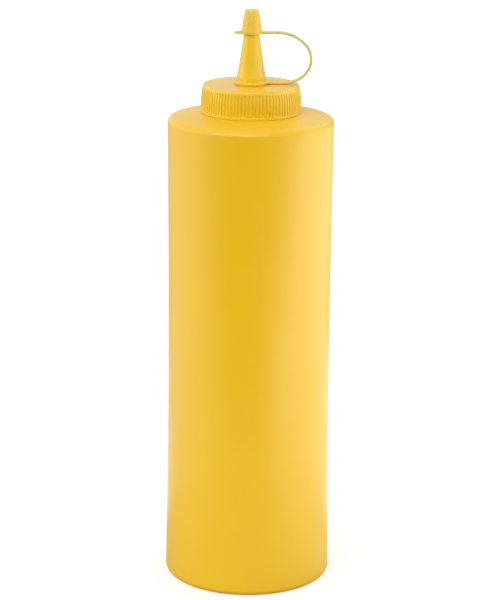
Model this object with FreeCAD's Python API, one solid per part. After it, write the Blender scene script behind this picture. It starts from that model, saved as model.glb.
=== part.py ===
# Squeeze bottle with a ribbed screw closure, a conical nozzle and a tethered
# tip cap.  Millimetres, +Z up.  Origin: centre of the base, on the plane the
# bottle stands on.  +X is the side on which the tether strap loops.
import FreeCAD, Part
import math
import os

V = FreeCAD.Vector
os.makedirs("parts", exist_ok=True)

# ----------------------------------------------------------------------------
# Driving dimensions (mm)
# ----------------------------------------------------------------------------
# bottle body: a blown, slightly waisted cylinder
BODY_FOOT_R = 35.30        # wall radius just above the heel
BODY_WAIST_R = 34.23       # narrowest radius
BODY_TOP_R = 34.65         # wall radius just under the shoulder round
BODY_WAIST_Z = 110.0       # height of the waist
BODY_EDGE_Z = 199.93       # height at which the shoulder round ends
HEEL_R = 2.6               # round between wall and standing ring
SHOULDER_ROUND = 2.35      # round between wall and shoulder
SHOULDER_RISE = 2.25       # rise of the conical shoulder up to the neck
NECK_R = 18.80             # plain neck that the closure covers
NECK_TOP_Z = 211.30
STAND_R = 29.6             # inner radius of the standing ring
PUSH_R = 26.4              # radius where the push-up's slope ends
PUSH_H = 1.55              # depth of the push-up at that radius
PUSH_CROWN = 2.35          # depth of the push-up on the axis

# ribbed screw closure
CAP_RIM_R = 21.06          # foot of the tapered rim, which sits on the shoulder
CAP_RIM_CUT = 0.18         # small chamfer under the rim
CAP_RIM_TOP_Z = 202.78
CAP_CREST_R0 = 20.94       # rib crests at the bottom of the ribs
CAP_CREST_R1 = 20.79       # at mid height
CAP_CREST_MID_Z = 207.6
CAP_CREST_R2 = 20.20       # at the top of the ribs
CAP_RIB_TOP_Z = 212.15
CAP_TOP_R = 19.86          # plain band above the ribs, at the edge round
CAP_EDGE_ROUND = 0.45
CAP_TOP_Z = 213.47         # flat top
RIB_COUNT = 90
RIB_DEPTH = 0.38
RIB_MOUTH = 0.78           # width of a groove at the crests
RIB_FLOOR = 0.34           # width of a groove at its floor
RIB_PHASE = -0.4           # degrees, a crest's place from straight ahead

# nozzle, one piece with the closure
COLLAR_R = 6.55            # low step that the tether ring rests on
COLLAR_H = 0.28
FOOT_R = 6.02              # straight foot, which the tether ring hugs
FOOT_TOP_Z = 215.40
NOZ = ((5.95, 216.5), (5.44, 219.3), (3.40, 232.6))   # (radius, height)
NOZ_NECK_R = 3.20          # nozzle where the tip cap starts
TIP_R = 2.75               # nozzle end, inside the tip cap
TIP_Z = 240.60

# tip cap
TC_Z0 = 234.30             # underside of the flange
TC_FLANGE_R = 4.28
TC_FLANGE_TOP_Z = 235.45
TC_BODY = ((3.92, 237.5), (3.72, 239.4), (3.50, 240.9), (3.08, 243.1))
TC_EDGE_ROUND = 0.95
TC_TOP_Z = 244.40
TAB_END_X = -7.35          # end of the pull tab
TAB_W = 3.4
TAB_T = 1.15

# tether: ring round the nozzle's foot, and the strap up to the tip cap
RING_R = 7.10
RING_Z0 = CAP_TOP_Z + COLLAR_H
RING_T = 1.10
STRAP_T = 1.20             # in the plane of the loop
STRAP_W = 2.20             # across it
STRAP_TOP_Z = 234.90       # centre line where it leaves the tip cap
STRAP_TOP_RUN_X = 11.08    # straight up to here
STRAP_ARCS = ((15.24, 46.7), (9.11, 100.2), (12.46, 33.1))   # radius, degrees


# ----------------------------------------------------------------------------
# Helpers
# ----------------------------------------------------------------------------
def pt(r, z):
    return V(r, 0.0, z)


def line(a, b):
    return Part.LineSegment(a, b).toShape()


def arc3(a, m, b):
    return Part.Arc(a, m, b).toShape()


def round_between(corner, d_in, d_out, radius):
    """Arc that rounds a corner; d_in and d_out are unit directions away from
    the corner, along the two lines.  Returns start, middle and end points."""
    half = d_in.getAngle(d_out) / 2.0
    cut = radius / math.tan(half)
    a = corner + d_in * cut
    b = corner + d_out * cut
    bis = (d_in + d_out).normalize()
    centre = corner + bis * (radius / math.sin(half))
    return a, centre - bis * radius, b


def unit(a, b):
    d = b - a
    return d.normalize()


def spin(edges):
    face = Part.Face(Part.Wire(Part.__sortEdges__(edges)))
    solid = face.revolve(V(0, 0, 0), V(0, 0, 1), 360.0)
    if solid.ShapeType != "Solid":
        solid = Part.Solid(solid.Shells[0])
    if solid.Volume < 0:
        solid.reverse()
    return solid


def big_arc(r_end, z_end, r_waist, z_waist, z):
    """Radius at height z on the arc that is upright at the waist and passes
    through (r_end, z_end)."""
    dz, dr = z_end - z_waist, r_end - r_waist
    rc = (dz * dz + dr * dr) / (2.0 * dr)
    return r_waist + rc - math.sqrt(rc * rc - (z - z_waist) ** 2)


def shoulder_z(r):
    """Height of the conical shoulder at radius r."""
    edge_r = BODY_TOP_R - SHOULDER_ROUND
    return BODY_EDGE_Z + SHOULDER_RISE * (edge_r - r) / (edge_r - NECK_R)


def export(shape, name):
    if shape.ShapeType == "Compound" and len(shape.Solids) == 1:
        shape = shape.Solids[0]
    assert shape.isValid(), name
    assert len(shape.Solids) == 1, (name, len(shape.Solids))
    shape.exportStep("parts/%s.step" % name)
    bb = shape.BoundBox
    print("%-18s %.1f mm3  x %.2f..%.2f  y %.2f..%.2f  z %.2f..%.2f" % (
        name, shape.Volume, bb.XMin, bb.XMax, bb.YMin, bb.YMax,
        bb.ZMin, bb.ZMax))


# ----------------------------------------------------------------------------
# Bottle body
# ----------------------------------------------------------------------------
def make_body():
    z_foot = HEEL_R
    z_top = BODY_EDGE_Z - SHOULDER_ROUND
    wall_foot = pt(BODY_FOOT_R, z_foot)
    wall_waist = pt(BODY_WAIST_R, BODY_WAIST_Z)
    wall_top = pt(BODY_TOP_R, z_top)
    zl = (z_foot + BODY_WAIST_Z) / 2.0
    zu = (z_top + BODY_WAIST_Z) / 2.0
    wall_low = pt(big_arc(BODY_FOOT_R, z_foot, BODY_WAIST_R, BODY_WAIST_Z,
                          zl), zl)
    wall_up = pt(big_arc(BODY_TOP_R, z_top, BODY_WAIST_R, BODY_WAIST_Z,
                         zu), zu)
    c45 = math.cos(math.radians(45.0))

    stand_out = pt(BODY_FOOT_R - HEEL_R, 0.0)
    heel_mid = pt(BODY_FOOT_R - HEEL_R + HEEL_R * c45, HEEL_R - HEEL_R * c45)
    edge_top = pt(BODY_TOP_R - SHOULDER_ROUND, BODY_EDGE_Z)
    edge_mid = pt(BODY_TOP_R - SHOULDER_ROUND + SHOULDER_ROUND * c45,
                  z_top + SHOULDER_ROUND * c45)
    neck_root = pt(NECK_R, BODY_EDGE_Z + SHOULDER_RISE)
    neck_top = pt(NECK_R, NECK_TOP_Z)
    # push-up: a short slope, then a shallow crown up to the axis
    stand_in = pt(STAND_R, 0.0)
    push = pt(PUSH_R, PUSH_H)
    push_mid = pt(PUSH_R * 0.5, PUSH_H + (PUSH_CROWN - PUSH_H) * 0.75)
    crown = pt(0.0, PUSH_CROWN)

    edges = [
        line(stand_in, stand_out),
        arc3(stand_out, heel_mid, wall_foot),
        arc3(wall_foot, wall_low, wall_waist),
        arc3(wall_waist, wall_up, wall_top),
        arc3(wall_top, edge_mid, edge_top),
        line(edge_top, neck_root),
        line(neck_root, neck_top),
        line(neck_top, pt(0.0, NECK_TOP_Z)),
        line(pt(0.0, NECK_TOP_Z), crown),
        arc3(crown, push_mid, push),
        line(push, stand_in),
    ]
    return spin(edges)


# ----------------------------------------------------------------------------
# Closure with ribs and nozzle
# ----------------------------------------------------------------------------
def rib_groove(angle):
    """One groove: a tapered prism from the foot of the ribs to their top."""
    wires = []
    for r, z in ((CAP_CREST_R0, CAP_RIM_TOP_Z), (CAP_CREST_R2, CAP_RIB_TOP_Z)):
        out, inn = r + 0.6, r - RIB_DEPTH
        wo = RIB_MOUTH / 2.0 + (RIB_MOUTH - RIB_FLOOR) / 2.0 * 0.6 / RIB_DEPTH
        wi = RIB_FLOOR / 2.0
        loop = [V(-wo, -out, z), V(-wi, -inn, z), V(wi, -inn, z),
                V(wo, -out, z), V(-wo, -out, z)]
        wires.append(Part.makePolygon(loop))
    g = Part.makeLoft(wires, True, True)
    g.rotate(V(0, 0, 0), V(0, 0, 1), angle)
    return g


def make_closure():
    top_corner = pt(CAP_TOP_R, CAP_TOP_Z)
    band_foot = pt(CAP_CREST_R2, CAP_RIB_TOP_Z)
    e0, em, e1 = round_between(top_corner, unit(top_corner, band_foot),
                               V(-1, 0, 0), CAP_EDGE_ROUND)
    seat_r = CAP_RIM_R - CAP_RIM_CUT
    seat_in = pt(NECK_R, shoulder_z(NECK_R))
    seat_out = pt(seat_r, shoulder_z(seat_r))
    rim_foot = pt(CAP_RIM_R, shoulder_z(seat_r) + CAP_RIM_CUT)
    edges = [
        # seat on the shoulder, chamfer and tapered rim
        line(seat_in, seat_out),
        line(seat_out, rim_foot),
        line(rim_foot, pt(CAP_CREST_R0, CAP_RIM_TOP_Z)),
        # crests, upper band, top edge
        arc3(pt(CAP_CREST_R0, CAP_RIM_TOP_Z),
             pt(CAP_CREST_R1, CAP_CREST_MID_Z), band_foot),
        line(band_foot, e0),
        arc3(e0, em, e1),
        line(e1, pt(COLLAR_R, CAP_TOP_Z)),
        # collar and straight foot of the nozzle
        line(pt(COLLAR_R, CAP_TOP_Z), pt(COLLAR_R, CAP_TOP_Z + COLLAR_H)),
        line(pt(COLLAR_R, CAP_TOP_Z + COLLAR_H),
             pt(FOOT_R, CAP_TOP_Z + COLLAR_H)),
        line(pt(FOOT_R, CAP_TOP_Z + COLLAR_H), pt(FOOT_R, FOOT_TOP_Z)),
        line(pt(FOOT_R, FOOT_TOP_Z), pt(*NOZ[0])),
    ]
    for a, b in zip(NOZ[:-1], NOZ[1:]):
        edges.append(line(pt(*a), pt(*b)))
    edges += [
        line(pt(*NOZ[-1]), pt(NOZ_NECK_R, TC_Z0)),
        line(pt(NOZ_NECK_R, TC_Z0), pt(TIP_R, TIP_Z)),
        line(pt(TIP_R, TIP_Z), pt(0.0, TIP_Z)),
        line(pt(0.0, TIP_Z), pt(0.0, NECK_TOP_Z)),
        # the bore's end and wall, which the neck fills
        line(pt(0.0, NECK_TOP_Z), pt(NECK_R, NECK_TOP_Z)),
        line(pt(NECK_R, NECK_TOP_Z), seat_in),
    ]
    cap = spin(edges)
    step = 360.0 / RIB_COUNT
    grooves = [rib_groove(RIB_PHASE + (i + 0.5) * step)
               for i in range(RIB_COUNT)]
    cap = cap.cut(Part.makeCompound(grooves))
    return cap


# ----------------------------------------------------------------------------
# Tip cap, strap and ring, moulded in one piece
# ----------------------------------------------------------------------------
def strap_path(offset):
    """Corner points of the strap's centre line, moved outwards by offset:
    a run off the tip cap, three tangent arcs, and a run back to the ring.
    Returns a list of edges from the tip cap to the ring."""
    x, z, a = STRAP_TOP_RUN_X, STRAP_TOP_Z, 0.0
    edges = [line(V(TC_FLANGE_R - 1.0, 0, z + offset), V(x, 0, z + offset))]
    for radius, turn in STRAP_ARCS:
        cx, cz = x - radius * math.sin(a), z - radius * math.cos(a)
        r = radius + offset
        b = a + math.radians(turn)
        pts = [V(cx + r * math.sin(t), 0, cz + r * math.cos(t))
               for t in (a, (a + b) / 2.0, b)]
        edges.append(arc3(*pts))
        x, z, a = cx + radius * math.sin(b), cz + radius * math.cos(b), b
    end = V(RING_R - 0.45, 0, z - offset)
    edges.append(line(V(x, 0, z - offset), end))
    return edges, z


def make_tether():
    # strap: a flat ribbon in the plane y = 0
    outer, z_end = strap_path(STRAP_T / 2.0)
    inner, _ = strap_path(-STRAP_T / 2.0)
    o0, o1 = outer[0].Vertexes[0].Point, outer[-1].Vertexes[-1].Point
    i0, i1 = inner[0].Vertexes[0].Point, inner[-1].Vertexes[-1].Point
    wire = Part.Wire(Part.__sortEdges__(
        outer + [line(o1, i1)] + inner + [line(i0, o0)]))
    strap = Part.Face(wire).extrude(V(0, STRAP_W, 0))
    strap.translate(V(0, -STRAP_W / 2.0, 0))

    # ring round the nozzle's foot
    ring = Part.makeCylinder(RING_R, RING_T, V(0, 0, RING_Z0))
    ring = ring.cut(Part.makeCylinder(FOOT_R, RING_T + 2.0,
                                      V(0, 0, RING_Z0 - 1.0)))
    rim = [e for e in ring.Edges if abs(e.BoundBox.XMax - RING_R) < 1e-6
           and e.BoundBox.ZLength < 1e-6]
    ring = ring.makeFillet(0.3, rim)

    # tip cap, with the socket that the nozzle's end fills
    corner = pt(2.84, TC_TOP_Z)
    e0, em, e1 = round_between(corner, unit(corner, pt(*TC_BODY[-1])),
                               V(-1, 0, 0), TC_EDGE_ROUND)
    foot = pt(TC_FLANGE_R, TC_FLANGE_TOP_Z)
    shank = pt(*TC_BODY[0])
    edges = [
        line(pt(0.0, TIP_Z), pt(TIP_R, TIP_Z)),
        line(pt(TIP_R, TIP_Z), pt(NOZ_NECK_R, TC_Z0)),
        line(pt(NOZ_NECK_R, TC_Z0), pt(TC_FLANGE_R, TC_Z0)),
        line(pt(TC_FLANGE_R, TC_Z0), foot),
        arc3(foot, pt(4.06, 236.40), shank),
    ]
    for a, b in zip(TC_BODY[:-1], TC_BODY[1:]):
        edges.append(line(pt(*a), pt(*b)))
    edges += [
        line(pt(*TC_BODY[-1]), e0),
        arc3(e0, em, e1),
        line(e1, pt(0.0, TC_TOP_Z)),
        line(pt(0.0, TC_TOP_Z), pt(0.0, TIP_Z)),
    ]
    tip = spin(edges)

    # pull tab opposite the strap, rounded in plan
    r_tab = TAB_W / 2.0
    zt = STRAP_TOP_Z - TAB_T / 2.0
    tab = Part.makeBox(-TAB_END_X - r_tab - 3.6, TAB_W, TAB_T,
                       V(TAB_END_X + r_tab, -r_tab, zt))
    tab = tab.fuse(Part.makeCylinder(r_tab, TAB_T,
                                     V(TAB_END_X + r_tab, 0, zt)))

    # keep the strap and the tab out of the socket
    plug = Part.makeCone(NOZ_NECK_R, TIP_R, TIP_Z - TC_Z0, V(0, 0, TC_Z0))
    foot_core = Part.makeCylinder(FOOT_R, RING_T + 2.0,
                                  V(0, 0, RING_Z0 - 1.0))
    piece = tip.fuse([strap.cut(plug).cut(foot_core), tab.cut(plug), ring])
    piece = piece.removeSplitter()
    return piece, z_end


body = make_body()
closure = make_closure()
tether, strap_end_z = make_tether()

export(body, "bottle_body")
export(closure, "screw_cap")
export(tether, "tip_cap_tether")
print("strap ends at z %.2f, ring from %.2f to %.2f" % (
    strap_end_z, RING_Z0, RING_Z0 + RING_T))

for n, (a, b) in {"body/closure": (body, closure),
                  "body/tether": (body, tether),
                  "closure/tether": (closure, tether)}.items():
    print("common volume %-15s %.6f mm3" % (n, a.common(b).Volume))
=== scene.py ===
import math

import bmesh
import bpy
import numpy as np
from mathutils import Matrix, Vector


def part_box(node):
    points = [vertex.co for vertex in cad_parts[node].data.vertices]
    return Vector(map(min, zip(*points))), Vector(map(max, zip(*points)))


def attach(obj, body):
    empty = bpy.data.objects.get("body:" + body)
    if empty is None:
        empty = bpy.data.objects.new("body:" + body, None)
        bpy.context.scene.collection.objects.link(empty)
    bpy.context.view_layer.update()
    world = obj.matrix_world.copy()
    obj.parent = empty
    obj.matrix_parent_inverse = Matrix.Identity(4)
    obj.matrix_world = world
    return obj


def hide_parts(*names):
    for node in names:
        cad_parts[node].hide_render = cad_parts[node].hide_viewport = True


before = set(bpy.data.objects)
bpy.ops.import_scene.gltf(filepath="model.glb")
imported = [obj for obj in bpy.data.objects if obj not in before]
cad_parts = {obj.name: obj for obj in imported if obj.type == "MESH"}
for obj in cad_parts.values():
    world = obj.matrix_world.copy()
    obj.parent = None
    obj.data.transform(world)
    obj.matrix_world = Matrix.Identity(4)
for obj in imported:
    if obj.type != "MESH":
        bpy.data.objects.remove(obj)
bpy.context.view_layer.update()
BODY_LO, BODY_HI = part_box("bottle_body")
CAP_LO, CAP_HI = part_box("screw_cap")
TIE_LO, TIE_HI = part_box("tip_cap_tether")

MM = 0.001
scene = bpy.context.scene


# ----------------------------------------------------------------------------
# Camera: in front (-Y), a little above, looking down at the bottle
# ----------------------------------------------------------------------------
def make_camera():
    distance, height = 0.9335, 0.3761
    pitch, roll, turn = 0.26701, 0.00960, 0.00038
    right = Vector((math.cos(turn), -math.sin(turn), 0))
    ahead = Vector((math.sin(turn) * math.cos(pitch),
                    math.cos(turn) * math.cos(pitch), -math.sin(pitch)))
    up = right.cross(ahead)
    up_r = math.cos(roll) * up - math.sin(roll) * right
    right_r = math.cos(roll) * right + math.sin(roll) * up
    data = bpy.data.cameras.new("camera")
    data.sensor_fit = "VERTICAL"
    data.sensor_height = 36.0
    data.lens = 2279.0 / 600.0 * 36.0
    data.clip_start, data.clip_end = 0.01, 50.0
    data.dof.use_dof = False
    cam = bpy.data.objects.new("camera", data)
    rot = Matrix((right_r, up_r, -ahead)).transposed().to_4x4()
    cam.matrix_world = Matrix.Translation((0, -distance, height)) @ rot
    scene.collection.objects.link(cam)
    scene.camera = cam
    return cam


make_camera()


# ----------------------------------------------------------------------------
# Small tools
# ----------------------------------------------------------------------------
def smooth(t):
    t = max(0.0, min(1.0, t))
    return t * t * (3.0 - 2.0 * t)


def add_mesh(name, verts, faces):
    mesh = bpy.data.meshes.new(name)
    mesh.from_pydata([tuple(v) for v in verts], [], faces)
    mesh.validate()
    bm = bmesh.new()
    bm.from_mesh(mesh)
    bmesh.ops.recalc_face_normals(bm, faces=bm.faces)
    bm.to_mesh(mesh)
    bm.free()
    for p in mesh.polygons:
        p.use_smooth = True
    obj = bpy.data.objects.new(name, mesh)
    scene.collection.objects.link(obj)
    return obj


def arc(cx, cz, r, a0, a1, n):
    """Points (r, z) on an arc, angles in degrees from +r towards +z."""
    return [(cx + r * math.cos(math.radians(a0 + (a1 - a0) * i / n)),
             cz + r * math.sin(math.radians(a0 + (a1 - a0) * i / n)))
            for i in range(n + 1)]


def run(a, b, step):
    """Points from a to b, about step apart, both ends included."""
    n = max(1, int(round(math.hypot(b[0] - a[0], b[1] - a[1]) / step)))
    return [(a[0] + (b[0] - a[0]) * i / n, a[1] + (b[1] - a[1]) * i / n)
            for i in range(n + 1)]


def fillet(a, corner, b, radius, n):
    """Points of the round at a corner between the runs from a and to b."""
    c = Vector(corner)
    u, v = (Vector(a) - c).normalized(), (Vector(b) - c).normalized()
    half = u.angle(v) / 2.0
    cut = radius / math.tan(half)
    centre = c + (u + v).normalized() * (radius / math.sin(half))
    p0, p1 = c + u * cut, c + v * cut
    a0 = math.atan2(p0.y - centre.y, p0.x - centre.x)
    a1 = math.atan2(p1.y - centre.y, p1.x - centre.x)
    while a1 - a0 > math.pi:
        a1 -= 2 * math.pi
    while a0 - a1 > math.pi:
        a1 += 2 * math.pi
    return [(centre.x + radius * math.cos(a0 + (a1 - a0) * i / n),
             centre.y + radius * math.sin(a0 + (a1 - a0) * i / n))
            for i in range(n + 1)]


def chain(*parts):
    """Joins point lists, dropping points that repeat."""
    out = []
    for part in parts:
        for p in part:
            if not out or math.hypot(p[0] - out[-1][0],
                                     p[1] - out[-1][1]) > 1e-6:
                out.append((float(p[0]), float(p[1])))
    return out


def lathe(profile, angles, shape=None):
    """Vertices and faces of a closed lathe.  The profile's first and last
    points lie on the axis.  shape(r, z, angle, i) may move a point."""
    verts, faces, rows = [], [], []
    n = len(angles)
    for i, (r, z) in enumerate(profile):
        if r < 1e-7:
            zz = z if shape is None else shape(r, z, 0.0, i)[1]
            rows.append([len(verts)])
            verts.append((0.0, 0.0, zz * MM))
            continue
        row = []
        for a in angles:
            rr, zz = (r, z) if shape is None else shape(r, z, a, i)
            row.append(len(verts))
            verts.append((rr * math.cos(a) * MM, rr * math.sin(a) * MM,
                          zz * MM))
        rows.append(row)
    for lo, hi in zip(rows[:-1], rows[1:]):
        for k in range(n):
            k2 = (k + 1) % n
            if len(lo) == 1:
                faces.append((lo[0], hi[k2], hi[k]))
            elif len(hi) == 1:
                faces.append((lo[k], lo[k2], hi[0]))
            else:
                faces.append((lo[k], lo[k2], hi[k2], hi[k]))
    return verts, faces


# ----------------------------------------------------------------------------
# Bottle body
# ----------------------------------------------------------------------------
FOOT_R = BODY_HI.x / MM              # 35.30, radius just above the heel
WAIST_R, TOP_R = 34.23, 34.65
WAIST_Z, EDGE_Z = 110.0, 199.93
HEEL_R, SHOULDER_ROUND, SHOULDER_RISE = 2.6, 2.35, 2.25
NECK_R, NECK_TOP_Z = 18.80, BODY_HI.z / MM
STAND_R, PUSH_R, PUSH_H, PUSH_CROWN = 29.6, 26.4, 1.55, 2.35


def shoulder_z(r):
    """Height of the conical shoulder at radius r."""
    edge_r = TOP_R - SHOULDER_ROUND
    return EDGE_Z + SHOULDER_RISE * (edge_r - r) / (edge_r - NECK_R)


def wall_r(z):
    """Radius of the waisted wall: two long arcs, upright at the waist."""
    if z < WAIST_Z:
        r_end, z_end = FOOT_R, HEEL_R
    else:
        r_end, z_end = TOP_R, EDGE_Z - SHOULDER_ROUND
    dz, dr = z_end - WAIST_Z, r_end - WAIST_R
    rc = (dz * dz + dr * dr) / (2.0 * dr)
    return WAIST_R + rc - math.sqrt(rc * rc - (z - WAIST_Z) ** 2)


def seam_angles(n, dense):
    """Even angles round the axis, with close ones beside the two mould
    seams at 0 and 180 degrees."""
    found = set()
    for k in range(n):
        found.add(round(360.0 * k / n, 4))
    for base in (0.0, 180.0):
        for d in dense:
            found.add(round((base + d) % 360.0, 4))
            found.add(round((base - d) % 360.0, 4))
    out = sorted(found)
    keep = [out[0]]
    for a in out[1:]:
        if a - keep[-1] > 0.12:
            keep.append(a)
    return [math.radians(a) for a in keep]


def make_body():
    z_top = EDGE_Z - SHOULDER_ROUND
    foot_in = FOOT_R - HEEL_R
    edge_in = TOP_R - SHOULDER_ROUND
    wall = [(wall_r(z), z) for z in np.linspace(HEEL_R, z_top, 96)]
    crown = [(PUSH_R * t, PUSH_CROWN - (PUSH_CROWN - PUSH_H) * t * t)
             for t in np.linspace(0.0, 1.0, 44)]
    base = chain(crown[:-2],
                 fillet(crown[-4], (PUSH_R, PUSH_H), (STAND_R, 0.0), 2.2, 6),
                 fillet((PUSH_R, PUSH_H), (STAND_R, 0.0), (foot_in, 0.0),
                        2.0, 6))
    base = [p for p in base]
    top = chain(
        arc(edge_in, z_top, SHOULDER_ROUND, 0.0, 84.0, 12),
        run((edge_in - 0.3, shoulder_z(edge_in - 0.3)),
            (NECK_R, shoulder_z(NECK_R)), 1.0),
        [(NECK_R, NECK_TOP_Z), (0.0, NECK_TOP_Z)])
    profile = chain(base, arc(foot_in, HEEL_R, HEEL_R, -90.0, 0.0, 12),
                    wall, top)
    wave = np.random.default_rng(7)
    modes = [(m, k, wave.normal() / (1.0 + 0.5 * m + 0.4 * k),
              wave.uniform(0, 2 * math.pi), wave.uniform(0, 2 * math.pi))
             for m in range(2, 7) for k in range(0, 5)]

    def shape(r, z, a, i):
        rr, zz = r, z
        # hand-soft unevenness of a blown wall
        if 4.0 < z < EDGE_Z and r > 30.0:
            w = smooth((z - 4.0) / 12.0) * smooth((EDGE_Z - 1.0 - z) / 10.0)
            s = sum(c * math.cos(m * a + p) * math.cos(k * math.pi * z / 200.0
                                                       + q)
                    for m, k, c, p, q in modes)
            rr += w * 0.030 * s
        # mould seams at the two sides
        off = min(abs(a), abs(a - math.pi), abs(a - 2 * math.pi))
        if z > 0.6 and r > NECK_R + 0.5:
            d = off * r
            amount = 0.055 * math.exp(-(d / 0.22) ** 2)
            if z < z_top + 0.5:
                w = smooth((z - 0.6) / 2.0) * smooth((FOOT_R - rr) / 0.08)
                rr += amount * w
            else:
                zz += amount
        # pinch-off ridge across the push-up
        if z > 0.2 and z < 4.0 and r < STAND_R:
            y = r * math.sin(a)
            x = abs(r * math.cos(a))
            ridge = math.exp(-(y / 0.55) ** 2) * smooth((23.0 - x) / 2.5)
            zz -= 0.42 * ridge
        return rr, zz

    verts, faces = lathe(
        profile, seam_angles(256, (0.18, 0.36, 0.56, 0.8, 1.06)), shape)
    return add_mesh("bottle_shell", verts, faces)


# ----------------------------------------------------------------------------
# Closure: ribbed cap and nozzle, one moulding
# ----------------------------------------------------------------------------
RIM_R = CAP_HI.x / MM
RIM_TOP_Z = 202.78
CREST_R0, CREST_R1, CREST_MID_Z, CREST_R2 = 20.94, 20.79, 207.6, 20.20
RIB_TOP_Z = 212.15
TOP_R_CAP, EDGE_ROUND, CAP_TOP_Z = 19.86, 0.45, 213.47
RIBS, RIB_DEPTH, RIB_PHASE = 90, 0.38, -0.4
COLLAR_R, COLLAR_H, FOOT_TOP_Z = 6.55, 0.28, 215.40
NOZ_FOOT_R = 6.02
NOZ = ((5.95, 216.5), (5.44, 219.3), (3.40, 232.6))
NOZ_NECK_R = 3.20
TIP_R, TIP_Z, TC_Z0 = 2.75, CAP_HI.z / MM, 234.30


def crest_r(z):
    """Radius of the rib crests: an arc through three stations."""
    z0, z1, z2 = RIM_TOP_Z, CREST_MID_Z, RIB_TOP_Z
    return (CREST_R0 * (z - z1) * (z - z2) / ((z0 - z1) * (z0 - z2))
            + CREST_R1 * (z - z0) * (z - z2) / ((z1 - z0) * (z1 - z2))
            + CREST_R2 * (z - z0) * (z - z1) / ((z2 - z0) * (z2 - z1)))


def rib_wave(a):
    """0 on a crest's middle, 1 in a groove's floor, rounded."""
    pitch = 2.0 * math.pi / RIBS
    front = -math.pi / 2.0 + math.radians(RIB_PHASE)
    t = ((a - front) / pitch) % 1.0
    t = abs(t - 0.5) * 2.0           # 1 at crest, 0 at groove
    return 1.0 - smooth((t - 0.17) / 0.42)


def make_closure():
    n = RIBS * 10
    angles = [2.0 * math.pi * k / n - math.pi / 2.0
              + math.radians(RIB_PHASE) for k in range(n)]
    crest_top = (CREST_R2, RIB_TOP_Z)
    corner = (TOP_R_CAP, CAP_TOP_Z)
    seat_in = (NECK_R, shoulder_z(NECK_R))
    seat_out = (RIM_R, shoulder_z(RIM_R))
    outer = chain(
        [seat_in],
        fillet(seat_in, seat_out, (CREST_R0, RIM_TOP_Z), 0.25, 4),
        fillet(seat_out, (CREST_R0, RIM_TOP_Z), (CREST_R0, RIB_TOP_Z),
               0.5, 4),
        [(crest_r(z), z) for z in
         list(np.linspace(RIM_TOP_Z + 0.04, RIM_TOP_Z + 0.6, 6))
         + list(np.linspace(RIM_TOP_Z + 1.2, RIB_TOP_Z - 1.3, 10))
         + list(np.linspace(RIB_TOP_Z - 0.9, RIB_TOP_Z, 8))],
        fillet(crest_top, corner, (10.0, CAP_TOP_Z), EDGE_ROUND, 8))
    # the ring where the flat top starts, and the nozzle's profile
    top_r = outer[-1][0]

    def depth(z):
        up = smooth((z - RIM_TOP_Z - 0.02) / 0.42)
        down = smooth((RIB_TOP_Z - z) / 0.75)
        return RIB_DEPTH * up * down

    verts, faces = [], []
    rows = []
    for r, z in outer:
        d = depth(z) if RIM_TOP_Z < z < RIB_TOP_Z else 0.0
        row = []
        for a in angles:
            rr = r - (d * rib_wave(a) if d > 0 else 0.0)
            row.append(len(verts))
            verts.append((rr * math.cos(a) * MM, rr * math.sin(a) * MM,
                          z * MM))
        rows.append(row)
    for lo, hi in zip(rows[:-1], rows[1:]):
        for k in range(n):
            k2 = (k + 1) % n
            faces.append((lo[k], lo[k2], hi[k2], hi[k]))

    # nozzle, with a fifth of the columns
    m = n // 5
    sub = [angles[5 * j] for j in range(m)]
    cone = chain(
        run((top_r - 0.5, CAP_TOP_Z), (COLLAR_R + 0.9, CAP_TOP_Z), 1.6),
        fillet((12.0, CAP_TOP_Z), (COLLAR_R, CAP_TOP_Z),
               (COLLAR_R, CAP_TOP_Z + COLLAR_H), 0.12, 3),
        fillet((COLLAR_R, CAP_TOP_Z), (COLLAR_R, CAP_TOP_Z + COLLAR_H),
               (NOZ_FOOT_R, CAP_TOP_Z + COLLAR_H), 0.10, 3),
        [(NOZ_FOOT_R, CAP_TOP_Z + COLLAR_H)],
        fillet((NOZ_FOOT_R, CAP_TOP_Z), (NOZ_FOOT_R, FOOT_TOP_Z), NOZ[0],
               5.0, 3),
        fillet((NOZ_FOOT_R, FOOT_TOP_Z), NOZ[0], NOZ[1], 6.0, 5),
        fillet(NOZ[0], NOZ[1], NOZ[2], 12.0, 4),
        run((5.35, NOZ[1][1] + 0.59), (3.46, NOZ[2][1] - 0.39), 1.2),
        fillet(NOZ[1], NOZ[2], (NOZ_NECK_R, TC_Z0), 8.0, 3),
        [(NOZ_NECK_R, TC_Z0), (TIP_R, TIP_Z)])
    first = len(verts)
    ring_rows = []
    for r, z in cone:
        row = []
        for a in sub:
            row.append(len(verts))
            verts.append((r * math.cos(a) * MM, r * math.sin(a) * MM, z * MM))
        ring_rows.append(row)
    # fan between the fine edge and the coarser flat top, all in one plane
    edge = rows[-1]
    inner = ring_rows[0]
    for j in range(m):
        j2 = (j + 1) % m
        fine = [edge[(5 * j + s) % n] for s in range(6)]
        faces.append(tuple([inner[j]] + fine + [inner[j2]]))
    for lo, hi in zip(ring_rows[:-1], ring_rows[1:]):
        for j in range(m):
            j2 = (j + 1) % m
            faces.append((lo[j], lo[j2], hi[j2], hi[j]))
    tip = len(verts)
    verts.append((0.0, 0.0, TIP_Z * MM))
    for j in range(m):
        faces.append((ring_rows[-1][j], ring_rows[-1][(j + 1) % m], tip))
    # bore wall and its flat end
    bore = []
    for a in angles:
        bore.append(len(verts))
        verts.append((NECK_R * math.cos(a) * MM, NECK_R * math.sin(a) * MM,
                      NECK_TOP_Z * MM))
    for k in range(n):
        k2 = (k + 1) % n
        faces.append((rows[0][k], bore[k], bore[k2], rows[0][k2]))
    roof = len(verts)
    verts.append((0.0, 0.0, NECK_TOP_Z * MM))
    for k in range(n):
        faces.append((bore[k], roof, bore[(k + 1) % n]))
    return add_mesh("closure_shell", verts, faces)


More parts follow.
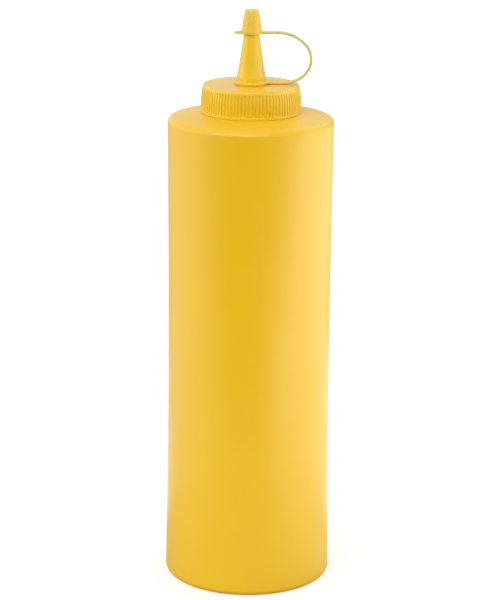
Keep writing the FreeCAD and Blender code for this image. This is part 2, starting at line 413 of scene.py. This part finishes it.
# ----------------------------------------------------------------------------
# Tip cap, pull tab, strap and ring, one moulding
# ----------------------------------------------------------------------------
TC_TOP_Z = TIE_HI.z / MM
TC_FLANGE_R, TC_FLANGE_TOP = 4.28, 235.45
TC_BODY = ((3.92, 237.5), (3.72, 239.4), (3.50, 240.9), (3.08, 243.1))
TC_CORNER_R, TC_ROUND = 2.84, 0.95
TAB_END_X, TAB_W, TAB_T = TIE_LO.x / MM, 3.4, 1.15
RING_R, RING_T = 7.10, 1.10
RING_Z0 = CAP_TOP_Z + COLLAR_H
STRAP_T, STRAP_W = 1.20, 2.20
STRAP_TOP_Z, STRAP_TOP_RUN_X = 234.90, 11.08
STRAP_ARCS = ((15.24, 46.7), (9.11, 100.2), (12.46, 33.1))


def strap_line(step):
    """Points and headings of the strap's centre line in the plane y = 0:
    a run off the tip cap, three tangent arcs, a run to the ring."""
    x, z, a = STRAP_TOP_RUN_X, STRAP_TOP_Z, 0.0
    pts = [(px, z, 0.0) for px, _ in run((TC_FLANGE_R - 1.3, z), (x, z),
                                         step)]
    for radius, turn in STRAP_ARCS:
        cx, cz = x - radius * math.sin(a), z - radius * math.cos(a)
        b = a + math.radians(turn)
        n = max(2, int(round(radius * (b - a) / step)))
        for i in range(1, n + 1):
            t = a + (b - a) * i / n
            pts.append((cx + radius * math.sin(t), cz + radius * math.cos(t),
                        t))
        x, z, a = pts[-1]
    pts += [(px, z, math.pi) for px, _ in
            run((x, z), (RING_R - 0.5, z), step)[1:]]
    return pts


def rounded_section(width, thick, radius, n):
    """Closed section, (across, through), with rounded corners."""
    out = []
    for cx, cz, a0 in ((width / 2 - radius, thick / 2 - radius, 0),
                       (-width / 2 + radius, thick / 2 - radius, 90),
                       (-width / 2 + radius, -thick / 2 + radius, 180),
                       (width / 2 - radius, -thick / 2 + radius, 270)):
        for i in range(n + 1):
            t = math.radians(a0 + 90.0 * i / n)
            out.append((cx + radius * math.cos(t), cz + radius * math.sin(t)))
    return out


def bridge_rows(rows, closed_ends=True):
    faces = []
    n = len(rows[0])
    for lo, hi in zip(rows[:-1], rows[1:]):
        for k in range(n):
            k2 = (k + 1) % n
            faces.append((lo[k], lo[k2], hi[k2], hi[k]))
    if closed_ends:
        faces.append(tuple(reversed(rows[0])))
        faces.append(tuple(rows[-1]))
    return faces


def strap_solid():
    verts, rows = [], []
    line = strap_line(0.35)
    for i, (x, z, a) in enumerate(line):
        out = Vector((math.sin(a), math.cos(a)))       # away from the loop
        # a little wider where it runs into the ring and the tip cap
        from_top = i * 0.35
        from_end = (len(line) - 1 - i) * 0.35
        flare = 0.7 * (1 - smooth(from_top / 3.2)) + 0.7 * (
            1 - smooth(from_end / 2.6))
        row = []
        for across, through in rounded_section(STRAP_W + flare, STRAP_T,
                                               0.38, 4):
            row.append(len(verts))
            verts.append(((x + out.x * through) * MM, across * MM,
                          (z + out.y * through) * MM))
        rows.append(row)
    return add_mesh("strap", verts, bridge_rows(rows))


def ring_solid():
    """Ring round the nozzle's foot, its edges rounded."""
    n = 160
    z0, z1 = RING_Z0, RING_Z0 + RING_T
    r0, r1 = NOZ_FOOT_R, RING_R
    sec = chain(
        fillet((r0, z1), (r0, z0), (r1, z0), 0.12, 3),
        fillet((r0, z0), (r1, z0), (r1, z1), 0.32, 5),
        fillet((r1, z0), (r1, z1), (r0, z1), 0.42, 6),
        fillet((r1, z1), (r0, z1), (r0, z0), 0.12, 3))
    verts, rows = [], []
    for k in range(n):
        a = 2 * math.pi * k / n
        row = []
        for r, z in sec:
            row.append(len(verts))
            verts.append((r * math.cos(a) * MM, r * math.sin(a) * MM, z * MM))
        rows.append(row)
    faces = bridge_rows(rows + [rows[0]], closed_ends=False)
    return add_mesh("ring", verts, faces)


def tip_solid():
    corner = (TC_CORNER_R, TC_TOP_Z)
    foot = (TC_FLANGE_R, TC_FLANGE_TOP)
    profile = chain(
        [(0.0, TIP_Z), (TIP_R, TIP_Z), (NOZ_NECK_R, TC_Z0)],
        fillet((NOZ_NECK_R, TC_Z0), (TC_FLANGE_R, TC_Z0), foot, 0.35, 5),
        fillet((TC_FLANGE_R, TC_Z0), foot, TC_BODY[0], 0.6, 4),
        run((4.22, 235.8), (3.98, 237.15), 0.45),
        [TC_BODY[0]],
        run(TC_BODY[0], TC_BODY[1], 0.6),
        run(TC_BODY[1], TC_BODY[2], 0.5),
        run(TC_BODY[2], TC_BODY[3], 0.5),
        fillet(TC_BODY[3], corner, (0.0, TC_TOP_Z), TC_ROUND, 10),
        [(1.0, TC_TOP_Z), (0.0, TC_TOP_Z)])
    n = 128
    verts, faces = lathe(profile, [2 * math.pi * k / n for k in range(n)])
    return add_mesh("tip", verts, faces)


def tab_solid():
    """Pull tab: a flat tongue with a round end, thinner towards the end."""
    half = TAB_W / 2.0
    cx = TAB_END_X + half
    verts, rows = [], []
    stations = [(-3.2, half)]
    for x in np.linspace(-3.8, cx, 8):
        stations.append((x, half))
    for t in np.linspace(0.0, 1.0, 14)[1:]:
        a = t * math.radians(86.0)
        stations.append((cx - half * math.sin(a), half * math.cos(a)))
    for x, h in stations:
        thick = TAB_T * (1.0 - 0.18 * smooth((-4.5 - x) / 3.0))
        row = []
        rad = min(0.36, h * 0.95, thick * 0.48)
        for across, through in rounded_section(2 * h, thick, rad, 4):
            row.append(len(verts))
            verts.append((x * MM, across * MM,
                          (STRAP_TOP_Z + through) * MM))
        rows.append(row)
    return add_mesh("tab", verts, bridge_rows(rows))


def apply_modifier(obj, kind, **settings):
    mod = obj.modifiers.new(kind.lower(), kind)
    for key, value in settings.items():
        setattr(mod, key, value)
    dg = bpy.context.evaluated_depsgraph_get()
    dg.update()
    new = bpy.data.meshes.new_from_object(obj.evaluated_get(dg))
    obj.modifiers.clear()
    old = obj.data
    obj.data = new
    bpy.data.meshes.remove(old)


def make_tether():
    """The four shapes become one skin with soft inner corners."""
    parts = [tip_solid(), strap_solid(), ring_solid(), tab_solid()]
    bm = bmesh.new()
    for o in parts:
        bm.from_mesh(o.data)
        mesh = o.data
        bpy.data.objects.remove(o)
        bpy.data.meshes.remove(mesh)
    mesh = bpy.data.meshes.new("tip_cap_and_tether")
    bm.to_mesh(mesh)
    bm.free()
    obj = bpy.data.objects.new("tip_cap_and_tether", mesh)
    scene.collection.objects.link(obj)
    apply_modifier(obj, "REMESH", mode="VOXEL", voxel_size=0.115 * MM,
                   adaptivity=0.0, use_smooth_shade=True)
    apply_modifier(obj, "SMOOTH", factor=0.5, iterations=6)
    for p in obj.data.polygons:
        p.use_smooth = True
    return obj


# ----------------------------------------------------------------------------
# Materials
# ----------------------------------------------------------------------------
def new_material(name):
    mat = bpy.data.materials.new(name)
    mat.use_nodes = True
    nt = mat.node_tree
    nt.nodes.clear()
    out = nt.nodes.new("ShaderNodeOutputMaterial")
    bsdf = nt.nodes.new("ShaderNodeBsdfPrincipled")
    nt.links.new(bsdf.outputs["BSDF"], out.inputs["Surface"])
    return mat, nt, bsdf


def noise(nt, coord, scale, detail=2.0, rough=0.5, stretch=None):
    node = nt.nodes.new("ShaderNodeTexNoise")
    node.inputs["Scale"].default_value = scale
    node.inputs["Detail"].default_value = detail
    node.inputs["Roughness"].default_value = rough
    src = coord
    if stretch is not None:
        mp = nt.nodes.new("ShaderNodeMapping")
        mp.inputs["Scale"].default_value = stretch
        nt.links.new(coord, mp.inputs["Vector"])
        src = mp.outputs["Vector"]
    nt.links.new(src, node.inputs["Vector"])
    return node.outputs["Fac"]


def mapped(nt, value, lo, hi, out_lo, out_hi):
    node = nt.nodes.new("ShaderNodeMapRange")
    node.inputs["From Min"].default_value = lo
    node.inputs["From Max"].default_value = hi
    node.inputs["To Min"].default_value = out_lo
    node.inputs["To Max"].default_value = out_hi
    nt.links.new(value, node.inputs["Value"])
    return node.outputs["Result"]


def blend_colours(nt, fac, a, b):
    node = nt.nodes.new("ShaderNodeMix")
    node.data_type = "RGBA"
    node.inputs["A"].default_value = (*a, 1.0)
    node.inputs["B"].default_value = (*b, 1.0)
    nt.links.new(fac, node.inputs["Factor"])
    return node.outputs["Result"]


def maths(nt, kind, a, b=None):
    node = nt.nodes.new("ShaderNodeMath")
    node.operation = kind
    for k, value in enumerate((a, b)):
        if value is None:
            continue
        if isinstance(value, (int, float)):
            node.inputs[k].default_value = value
        else:
            nt.links.new(value, node.inputs[k])
    return node.outputs[0]


def off_axis(nt, coord, over, full):
    """0 within "over" mm of the thick part's radius, 1 beyond "full"; that
    radius is 13 mm round the foot ring and 4 mm up at the tip cap."""
    sep = nt.nodes.new("ShaderNodeSeparateXYZ")
    nt.links.new(coord, sep.inputs[0])
    xx = maths(nt, "MULTIPLY", sep.outputs["X"], sep.outputs["X"])
    yy = maths(nt, "MULTIPLY", sep.outputs["Y"], sep.outputs["Y"])
    r = maths(nt, "SQRT", maths(nt, "ADD", xx, yy))
    own = mapped(nt, sep.outputs["Z"], 218.0 * MM, 228.0 * MM,
                 13.0 * MM, 4.0 * MM)
    return mapped(nt, maths(nt, "SUBTRACT", r, own), over * MM, full * MM,
                  0.0, 1.0)


def plastic(name, colour_a, colour_b, rough, bump_scale, bump_mm,
            wave_scale, wave_mm, patch_scale, haze, ior, thin=None):
    """Moulded plastic.  haze is the weight of the pale bloom on a satin skin;
    thin = (colour, over, full) paints the plastic paler where it is a thin
    strap, away from the axis: a painted brightening that stands in for light
    shining through the thin plastic."""
    mat, nt, bsdf = new_material(name)
    coord = nt.nodes.new("ShaderNodeTexCoord").outputs["Object"]
    patch = noise(nt, coord, patch_scale, 3.0, 0.55)
    colour = blend_colours(nt, mapped(nt, patch, 0.35, 0.65, 0.0, 1.0),
                           colour_a, colour_b)
    # painted light: paler colour away from the axis, standing in for light
    # that shines through the thin strap
    if thin is not None:
        pale = blend_colours(nt, off_axis(nt, coord, thin[1], thin[2]),
                             colour_a, thin[0])
        nt.links.new(colour, pale.node.inputs["A"])
        colour = pale
    nt.links.new(colour, bsdf.inputs["Base Color"])
    r = mapped(nt, noise(nt, coord, patch_scale * 3.1, 4.0, 0.6),
               0.3, 0.7, rough[0], rough[1])
    nt.links.new(r, bsdf.inputs["Roughness"])
    fine = nt.nodes.new("ShaderNodeBump")
    fine.inputs["Strength"].default_value = 1.0
    fine.inputs["Distance"].default_value = bump_mm * MM
    nt.links.new(noise(nt, coord, bump_scale, 2.0, 0.6),
                 fine.inputs["Height"])
    broad = nt.nodes.new("ShaderNodeBump")
    broad.inputs["Strength"].default_value = 1.0
    broad.inputs["Distance"].default_value = wave_mm * MM
    nt.links.new(noise(nt, coord, wave_scale, 1.0, 0.4),
                 broad.inputs["Height"])
    nt.links.new(broad.outputs["Normal"], fine.inputs["Normal"])
    nt.links.new(fine.outputs["Normal"], bsdf.inputs["Normal"])
    bsdf.inputs["IOR"].default_value = ior
    bsdf.inputs["Sheen Weight"].default_value = haze
    bsdf.inputs["Sheen Roughness"].default_value = 0.35
    bsdf.inputs["Sheen Tint"].default_value = (0.80, 1.0, 0.86, 1.0)
    return mat


BOTTLE_MAT = plastic(
    "bottle_satin", (0.850, 0.508, 0.0052), (0.836, 0.496, 0.0044),
    (0.33, 0.40), 2600.0, 0.004, 55.0, 0.05, 22.0, 0.10, 1.60)
CAP_MAT = plastic(
    "closure_gloss", (0.842, 0.536, 0.0088), (0.828, 0.522, 0.0074),
    (0.19, 0.25), 3200.0, 0.002, 160.0, 0.012, 60.0, 0.04, 1.56)
# the strap gets a paler colour than the tip cap: painted light for light
# shining through the thin plastic
TIE_MAT = plastic(
    "tip_cap_soft", (0.826, 0.530, 0.048), (0.812, 0.517, 0.042),
    (0.24, 0.32), 3000.0, 0.0015, 200.0, 0.008, 90.0, 0.04, 1.54,
    thin=((0.648, 0.540, 0.175), 1.0, 3.4))

body = make_body()
body.data.materials.append(BOTTLE_MAT)
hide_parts("bottle_body")
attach(body, "root")

closure = make_closure()
closure.data.materials.append(CAP_MAT)
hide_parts("screw_cap")
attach(closure, "root")

tether = make_tether()
tether.data.materials.append(TIE_MAT)
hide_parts("tip_cap_tether")
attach(tether, "root")


# ----------------------------------------------------------------------------
# Studio: pale floor, pale surroundings, soft panels
# ----------------------------------------------------------------------------
FLOOR_GLOW = ((0.04, 0.60), (0.12, 0.68), (0.6, 0.86))    # distance m, glow


def make_floor():
    """Pale table that fades to plain white with distance."""
    x, y0, y1 = 6.0, -0.30, 9.0
    z = -0.00003                     # a hair under the standing ring
    verts = [(-x, y0, z), (x, y0, z), (x, y1, z), (-x, y1, z)]
    mesh = bpy.data.meshes.new("floor")
    mesh.from_pydata(verts, [], [(0, 1, 2, 3)])
    floor = bpy.data.objects.new("floor", mesh)
    scene.collection.objects.link(floor)
    mat, nt, bsdf = new_material("floor_pale")
    bsdf.inputs["Base Color"].default_value = (0.42, 0.42, 0.42, 1.0)
    bsdf.inputs["Roughness"].default_value = 0.9
    bsdf.inputs["Specular IOR Level"].default_value = 0.0
    bsdf.inputs["Emission Color"].default_value = (1.0, 1.0, 1.0, 1.0)
    place = nt.nodes.new("ShaderNodeTexCoord").outputs["Object"]
    far = nt.nodes.new("ShaderNodeVectorMath")
    far.operation = "LENGTH"
    nt.links.new(place, far.inputs[0])
    (d0, g0), (d1, g1), (d2, g2) = FLOOR_GLOW
    near = mapped(nt, far.outputs["Value"], d0, d1, g0, g1)
    rest = mapped(nt, far.outputs["Value"], d1, d2, 0.0, g2 - g1)
    path = nt.nodes.new("ShaderNodeLightPath")
    glow = maths(nt, "MULTIPLY", maths(nt, "ADD", near, rest),
                 path.outputs["Is Camera Ray"])
    nt.links.new(glow, bsdf.inputs["Emission Strength"])
    mesh.materials.append(mat)
    return floor


def panel(name, place, width, height, radiance, face_up=False):
    """Soft rectangular light aimed at the bottle, or lying and facing up;
    radiance is what a mirror would show."""
    data = bpy.data.lights.new(name, "AREA")
    data.shape = "RECTANGLE"
    data.size, data.size_y = width, height
    data.energy = radiance * math.pi * width * height
    obj = bpy.data.objects.new(name, data)
    obj.location = place
    if face_up:
        obj.rotation_euler = (math.pi, 0.0, 0.0)
    else:
        d = Vector((0, 0, 0.12)) - Vector(place)
        obj.rotation_euler = d.to_track_quat("-Z", "Y").to_euler()
    obj.visible_camera = False
    scene.collection.objects.link(obj)
    return obj


def table_glow(name, x0, x1, y0, y1, radiance):
    """Part of the table lit from below."""
    return panel(name, ((x0 + x1) / 2, (y0 + y1) / 2, 0.0004), x1 - x0,
                 y1 - y0, radiance, face_up=True)


# brightness of the walls round the table: (degrees from the front towards
# +X, low on the walls, high on the walls)
WALLS = ((-180, 0.65, 0.86), (-135, 1.55, 0.86), (-90, 2.06, 0.32),
         (-45, 0.12, 3.46), (0, 0.26, 3.44), (45, 1.18, 0.0),
         (90, 2.50, 0.53), (135, 0.0, 2.31), (180, 0.65, 0.86))
CEILING = 0.72


def round_ramp(nt, turn, values):
    """Brightness by direction, straight lines between the stops."""
    node = nt.nodes.new("ShaderNodeValToRGB")
    node.color_ramp.interpolation = "LINEAR"
    stops = node.color_ramp.elements
    while len(stops) < len(values):
        stops.new(0.5)
    for k, (at, value) in enumerate(values):
        stops[k].position = at
        stops[k].color = (value / 4.0, value / 4.0, value / 4.0, 1.0)
    nt.links.new(turn, node.inputs[0])
    return maths(nt, "MULTIPLY", node.outputs[0], 4.0)


def make_world():
    """Walls of uneven brightness round the table, a dim ceiling.  The
    camera itself sees plain white."""
    world = bpy.data.worlds.new("surroundings")
    scene.world = world
    world.use_nodes = True
    nt = world.node_tree
    nt.nodes.clear()
    out = nt.nodes.new("ShaderNodeOutputWorld")
    back = nt.nodes.new("ShaderNodeBackground")
    nt.links.new(back.outputs[0], out.inputs["Surface"])
    way = nt.nodes.new("ShaderNodeTexCoord")
    sep = nt.nodes.new("ShaderNodeSeparateXYZ")
    nt.links.new(way.outputs["Generated"], sep.inputs[0])
    front = maths(nt, "MULTIPLY", sep.outputs["Y"], -1.0)
    turn = maths(nt, "ARCTAN2", sep.outputs["X"], front)
    turn = mapped(nt, turn, -math.pi, math.pi, 0.0, 1.0)
    rise = maths(nt, "ARCSINE", sep.outputs["Z"])
    rise = maths(nt, "MULTIPLY", rise, 180.0 / math.pi)
    low = round_ramp(nt, turn, [((a + 180) / 360.0, v) for a, v, _ in WALLS])
    high = round_ramp(nt, turn, [((a + 180) / 360.0, v) for a, _, v in WALLS])
    low = maths(nt, "MULTIPLY", low, mapped(nt, rise, 12.0, 24.0, 1.0, 0.0))
    low = maths(nt, "MULTIPLY", low, mapped(nt, rise, -1.0, 0.0, 0.0, 1.0))
    high = maths(nt, "MULTIPLY", high, mapped(nt, rise, 12.0, 24.0, 0.0, 1.0))
    high = maths(nt, "MULTIPLY", high, mapped(nt, rise, 40.0, 60.0, 1.0, 0.0))
    top = mapped(nt, rise, 40.0, 60.0, 0.0, CEILING)
    total = maths(nt, "ADD", maths(nt, "ADD", low, high), top)
    path = nt.nodes.new("ShaderNodeLightPath")
    mix = nt.nodes.new("ShaderNodeMix")
    mix.data_type = "FLOAT"
    nt.links.new(path.outputs["Is Camera Ray"], mix.inputs["Factor"])
    nt.links.new(total, mix.inputs["A"])
    mix.inputs["B"].default_value = 1.0
    nt.links.new(mix.outputs["Result"], back.inputs["Strength"])
    back.inputs["Color"].default_value = (1, 1, 1, 1)


make_floor()
make_world()
panel("panel_left_front", (-0.3897, -0.225, 0.12), 0.30, 0.24, 0.29)
panel("panel_left", (-0.42, 0.0, 0.12), 0.35, 0.24, 0.20)
panel("panel_right_front", (0.3897, -0.225, 0.12), 0.30, 0.24, 0.33)
panel("panel_right", (0.42, 0.0, 0.12), 0.35, 0.24, 0.72)
panel("panel_right_back", (0.3637, 0.21, 0.12), 0.30, 0.24, 0.21)
table_glow("glow_back", -0.14, 0.14, 0.06, 0.50, 0.68)
table_glow("glow_front_right", 0.14, 0.60, -0.30, -0.20, 2.60)
table_glow("glow_left", -0.40, -0.14, -0.20, 0.30, 0.41)
table_glow("glow_far_left", -1.20, -0.40, -0.30, 0.80, 0.59)
table_glow("glow_near_right", 0.04, 0.14, -0.10, 0.12, 0.30)
table_glow("glow_right", 0.14, 0.40, -0.20, 0.30, 1.05)
table_glow("glow_far_right", 0.40, 1.20, -0.30, 0.80, 1.25)

scene.view_settings.view_transform = "Standard"
scene.view_settings.look = "None"
scene.view_settings.exposure = 0.0
scene.view_settings.gamma = 1.0
